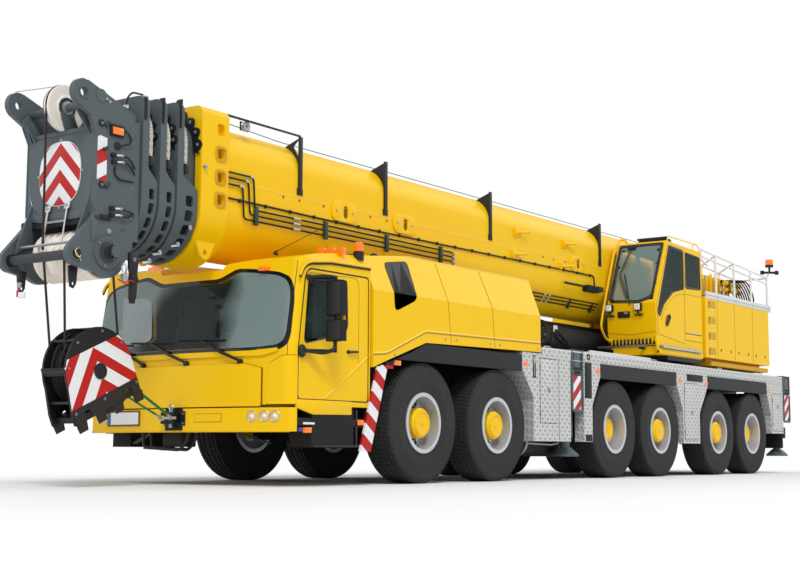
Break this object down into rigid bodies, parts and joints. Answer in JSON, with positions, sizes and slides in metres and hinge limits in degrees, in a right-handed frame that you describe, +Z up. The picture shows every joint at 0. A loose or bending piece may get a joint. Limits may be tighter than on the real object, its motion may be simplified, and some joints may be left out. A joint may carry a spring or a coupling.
{
  "type": "mobile crane",
  "caption": "All-terrain mobile crane on a multi-axle carrier, with a telescopic boom, outriggers, lift cylinder, hook block and two cabs.",
  "frame": {"origin": "centre of the bounding box's bottom, on the ground under the middle of the crane with the boom stowed", "axes": "+Z up, -Y to the front of the carrier, +X to the vehicle's left side"},
  "size_m": [3.52, 16.175, 3.9498],
  "materials": {
    "tyre": "matte",
    "rim_grey": "satin",
    "black_metal": "satin",
    "yellow_paint": "gloss",
    "grey_paint": "satin",
    "aluminium_plate": "satin",
    "chrome_rod": "polished",
    "sheave_plastic": "matte"
  },
  "bodies": {
    "carrier": {"chassis_frame": "black_metal", "engine_block": "black_metal", "axle_beams": "black_metal", "carrier_cab": "yellow_paint", "front_bumper": "yellow_paint", "engine_cover": "yellow_paint", "side_bodywork": "aluminium_plate"},
    "road_wheel_1_left": {"tyre_1_left": "tyre", "wheel_1_left": "rim_grey"},
    "knuckle_1_left": {"knuckle_1_left": "black_metal"},
    "road_wheel_1_right": {"tyre_1_right": "tyre", "wheel_1_right": "rim_grey"},
    "knuckle_1_right": {"knuckle_1_right": "black_metal"},
    "road_wheel_2_left": {"tyre_2_left": "tyre", "wheel_2_left": "rim_grey"},
    "knuckle_2_left": {"knuckle_2_left": "black_metal"},
    "road_wheel_2_right": {"tyre_2_right": "tyre", "wheel_2_right": "rim_grey"},
    "knuckle_2_right": {"knuckle_2_right": "black_metal"},
    "road_wheel_3_left": {"tyre_3_left": "tyre", "wheel_3_left": "rim_grey"},
    "road_wheel_3_right": {"tyre_3_right": "tyre", "wheel_3_right": "rim_grey"},
    "road_wheel_4_left": {"tyre_4_left": "tyre", "wheel_4_left": "rim_grey"},
    "road_wheel_4_right": {"tyre_4_right": "tyre", "wheel_4_right": "rim_grey"},
    "road_wheel_5_left": {"tyre_5_left": "tyre", "wheel_5_left": "rim_grey"},
    "knuckle_5_left": {"knuckle_5_left": "black_metal"},
    "road_wheel_5_right": {"tyre_5_right": "tyre", "wheel_5_right": "rim_grey"},
    "knuckle_5_right": {"knuckle_5_right": "black_metal"},
    "road_wheel_6_left": {"tyre_6_left": "tyre", "wheel_6_left": "rim_grey"},
    "knuckle_6_left": {"knuckle_6_left": "black_metal"},
    "road_wheel_6_right": {"tyre_6_right": "tyre", "wheel_6_right": "rim_grey"},
    "knuckle_6_right": {"knuckle_6_right": "black_metal"},
    "cab_door_left": {"cab_door_left": "yellow_paint"},
    "cab_door_right": {"cab_door_right": "yellow_paint"},
    "outrigger_beam_front_left": {"outrigger_beam_front_left": "grey_paint"},
    "outrigger_jack_front_left": {"outrigger_jack_front_left": "grey_paint"},
    "outrigger_beam_front_right": {"outrigger_beam_front_right": "grey_paint"},
    "outrigger_jack_front_right": {"outrigger_jack_front_right": "grey_paint"},
    "outrigger_beam_rear_left": {"outrigger_beam_rear_left": "grey_paint"},
    "outrigger_jack_rear_left": {"outrigger_jack_rear_left": "grey_paint"},
    "outrigger_beam_rear_right": {"outrigger_beam_rear_right": "grey_paint"},
    "outrigger_jack_rear_right": {"outrigger_jack_rear_right": "grey_paint"},
    "superstructure": {"turntable": "yellow_paint", "machinery_housing": "yellow_paint", "upper_cab": "yellow_paint"},
    "boom_base": {"boom_base": "yellow_paint"},
    "lift_barrel": {"lift_cylinder_barrel": "grey_paint"},
    "lift_rod": {"lift_cylinder_rod": "chrome_rod"},
    "boom_section_1": {"boom_section_1": "grey_paint"},
    "boom_section_2": {"boom_section_2": "grey_paint"},
    "boom_section_3": {"boom_section_3": "grey_paint"},
    "boom_head": {"boom_head": "grey_paint"},
    "head_sheaves": {"head_sheaves": "sheave_plastic"},
    "hook_block": {"hook_block": "black_metal"}
  },
  "joints": [
    {"name": "steer_1_left", "type": "hinge", "parent": "carrier", "child": "knuckle_1_left", "pos_m": [1, -3.64, 0.685], "axis": [0, 0, 1], "range_deg": [-25, 25]},
    {"name": "spin_1_left", "type": "hinge", "parent": "knuckle_1_left", "child": "road_wheel_1_left", "pos_m": [1.285, -3.64, 0.685], "axis": [1, 0, 0], "continuous": true},
    {"name": "steer_1_right", "type": "hinge", "parent": "carrier", "child": "knuckle_1_right", "pos_m": [-1, -3.64, 0.685], "axis": [0, 0, 1], "range_deg": [-25.5, 25.5]},
    {"name": "spin_1_right", "type": "hinge", "parent": "knuckle_1_right", "child": "road_wheel_1_right", "pos_m": [-1.285, -3.64, 0.685], "axis": [1, 0, 0], "continuous": true},
    {"name": "steer_2_left", "type": "hinge", "parent": "carrier", "child": "knuckle_2_left", "pos_m": [1, -2.05, 0.685], "axis": [0, 0, 1], "range_deg": [-20.5, 20.5]},
    {"name": "spin_2_left", "type": "hinge", "parent": "knuckle_2_left", "child": "road_wheel_2_left", "pos_m": [1.285, -2.05, 0.685], "axis": [1, 0, 0], "continuous": true},
    {"name": "steer_2_right", "type": "hinge", "parent": "carrier", "child": "knuckle_2_right", "pos_m": [-1, -2.05, 0.685], "axis": [0, 0, 1], "range_deg": [-20.5, 20.5]},
    {"name": "spin_2_right", "type": "hinge", "parent": "knuckle_2_right", "child": "road_wheel_2_right", "pos_m": [-1.285, -2.05, 0.685], "axis": [1, 0, 0], "continuous": true},
    {"name": "spin_3_left", "type": "hinge", "parent": "carrier", "child": "road_wheel_3_left", "pos_m": [1.285, 1.12, 0.685], "axis": [1, 0, 0], "continuous": true},
    {"name": "spin_3_right", "type": "hinge", "parent": "carrier", "child": "road_wheel_3_right", "pos_m": [-1.285, 1.12, 0.685], "axis": [1, 0, 0], "continuous": true},
    {"name": "spin_4_left", "type": "hinge", "parent": "carrier", "child": "road_wheel_4_left", "pos_m": [1.285, 2.62, 0.685], "axis": [1, 0, 0], "continuous": true},
    {"name": "spin_4_right", "type": "hinge", "parent": "carrier", "child": "road_wheel_4_right", "pos_m": [-1.285, 2.62, 0.685], "axis": [1, 0, 0], "continuous": true},
    {"name": "steer_5_left", "type": "hinge", "parent": "carrier", "child": "knuckle_5_left", "pos_m": [1, 4.81, 0.685], "axis": [0, 0, 1], "range_deg": [-8.5, 8.5]},
    {"name": "spin_5_left", "type": "hinge", "parent": "knuckle_5_left", "child": "road_wheel_5_left", "pos_m": [1.285, 4.81, 0.685], "axis": [1, 0, 0], "continuous": true},
    {"name": "steer_5_right", "type": "hinge", "parent": "carrier", "child": "knuckle_5_right", "pos_m": [-1, 4.81, 0.685], "axis": [0, 0, 1], "range_deg": [-8.5, 8.5]},
    {"name": "spin_5_right", "type": "hinge", "parent": "knuckle_5_right", "child": "road_wheel_5_right", "pos_m": [-1.285, 4.81, 0.685], "axis": [1, 0, 0], "continuous": true},
    {"name": "steer_6_left", "type": "hinge", "parent": "carrier", "child": "knuckle_6_left", "pos_m": [1, 6.28, 0.685], "axis": [0, 0, 1], "range_deg": [-14.5, 14.5]},
    {"name": "spin_6_left", "type": "hinge", "parent": "knuckle_6_left", "child": "road_wheel_6_left", "pos_m": [1.285, 6.28, 0.685], "axis": [1, 0, 0], "continuous": true},
    {"name": "steer_6_right", "type": "hinge", "parent": "carrier", "child": "knuckle_6_right", "pos_m": [-1, 6.28, 0.685], "axis": [0, 0, 1], "range_deg": [-14.5, 14.5]},
    {"name": "spin_6_right", "type": "hinge", "parent": "knuckle_6_right", "child": "road_wheel_6_right", "pos_m": [-1.285, 6.28, 0.685], "axis": [1, 0, 0], "continuous": true},
    {"name": "cab_door_left_hinge", "type": "hinge", "parent": "carrier", "child": "cab_door_left", "pos_m": [1.465, -5.862, 1.56], "axis": [0, 0, -1], "range_deg": [0, 70]},
    {"name": "cab_door_right_hinge", "type": "hinge", "parent": "carrier", "child": "cab_door_right", "pos_m": [-1.465, -5.862, 1.56], "axis": [0, 0, 1], "range_deg": [0, 70]},
    {"name": "outrigger_front_left_beam", "type": "slide", "parent": "carrier", "child": "outrigger_beam_front_left", "axis": [1, 0, 0], "range_m": [0, 1.9]},
    {"name": "outrigger_front_left_jack", "type": "slide", "parent": "outrigger_beam_front_left", "child": "outrigger_jack_front_left", "axis": [0, 0, -1], "range_m": [0, 0.29]},
    {"name": "outrigger_front_right_beam", "type": "slide", "parent": "carrier", "child": "outrigger_beam_front_right", "axis": [-1, 0, 0], "range_m": [0, 1.9]},
    {"name": "outrigger_front_right_jack", "type": "slide", "parent": "outrigger_beam_front_right", "child": "outrigger_jack_front_right", "axis": [0, 0, -1], "range_m": [0, 0.29]},
    {"name": "outrigger_rear_left_beam", "type": "slide", "parent": "carrier", "child": "outrigger_beam_rear_left", "axis": [1, 0, 0], "range_m": [0, 1.9]},
    {"name": "outrigger_rear_left_jack", "type": "slide", "parent": "outrigger_beam_rear_left", "child": "outrigger_jack_rear_left", "axis": [0, 0, -1], "range_m": [0, 0.29]},
    {"name": "outrigger_rear_right_beam", "type": "slide", "parent": "carrier", "child": "outrigger_beam_rear_right", "axis": [-1, 0, 0], "range_m": [0, 1.9]},
    {"name": "outrigger_rear_right_jack", "type": "slide", "parent": "outrigger_beam_rear_right", "child": "outrigger_jack_rear_right", "axis": [0, 0, -1], "range_m": [0, 0.29]},
    {"name": "slew", "type": "hinge", "parent": "carrier", "child": "superstructure", "pos_m": [0, 3.72, 1.76], "axis": [0, 0, 1], "continuous": true},
    {"name": "boom_luff", "type": "hinge", "parent": "superstructure", "child": "boom_base", "pos_m": [0, 6.26, 2.9], "axis": [-1, 0, 0], "range_deg": [0, 82]},
    {"name": "lift_barrel_pivot", "type": "hinge", "parent": "superstructure", "child": "lift_barrel", "pos_m": [0, 4.36, 2.11], "axis": [-1, 0, 0], "range_deg": [-0.5, 93.61]},
    {"name": "lift_rod_slide", "type": "slide", "parent": "lift_barrel", "child": "lift_rod", "axis": [0, -1, 0], "range_m": [-0.005, 2.545]},
    {"name": "boom_section_1_slide", "type": "slide", "parent": "boom_base", "child": "boom_section_1", "axis": [0, -1, 0], "range_m": [0, 9]},
    {"name": "boom_section_2_slide", "type": "slide", "parent": "boom_section_1", "child": "boom_section_2", "axis": [0, -1, 0], "range_m": [0, 9]},
    {"name": "boom_section_3_slide", "type": "slide", "parent": "boom_section_2", "child": "boom_section_3", "axis": [0, -1, 0], "range_m": [0, 9]},
    {"name": "boom_head_slide", "type": "slide", "parent": "boom_section_3", "child": "boom_head", "axis": [0, -1, 0], "range_m": [0, 9]},
    {"name": "sheaves_level", "type": "hinge", "parent": "boom_head", "child": "head_sheaves", "pos_m": [0, -7.6, 2.25], "axis": [-1, 0, 0], "range_deg": [-57.5, 0.5]},
    {"name": "hook_hoist", "type": "slide", "parent": "head_sheaves", "child": "hook_block", "axis": [0, 0.4226, -0.9063], "range_m": [0, 6]}
  ],
  "couplings": [
    {"joint": "steer_1_right", "follows": "steer_1_left", "ratio": 1},
    {"joint": "steer_2_left", "follows": "steer_1_left", "ratio": 0.8},
    {"joint": "steer_2_right", "follows": "steer_1_left", "ratio": 0.8},
    {"joint": "steer_5_left", "follows": "steer_1_left", "ratio": -0.32},
    {"joint": "steer_5_right", "follows": "steer_1_left", "ratio": -0.32},
    {"joint": "steer_6_left", "follows": "steer_1_left", "ratio": -0.56},
    {"joint": "steer_6_right", "follows": "steer_1_left", "ratio": -0.56},
    {"joint": "lift_barrel_pivot", "follows": "boom_luff", "ratio": 1.1355},
    {"joint": "lift_rod_slide", "follows": "boom_luff", "m_per_rad": 1.7711},
    {"joint": "sheaves_level", "follows": "boom_luff", "ratio": -0.69512}
  ]
}
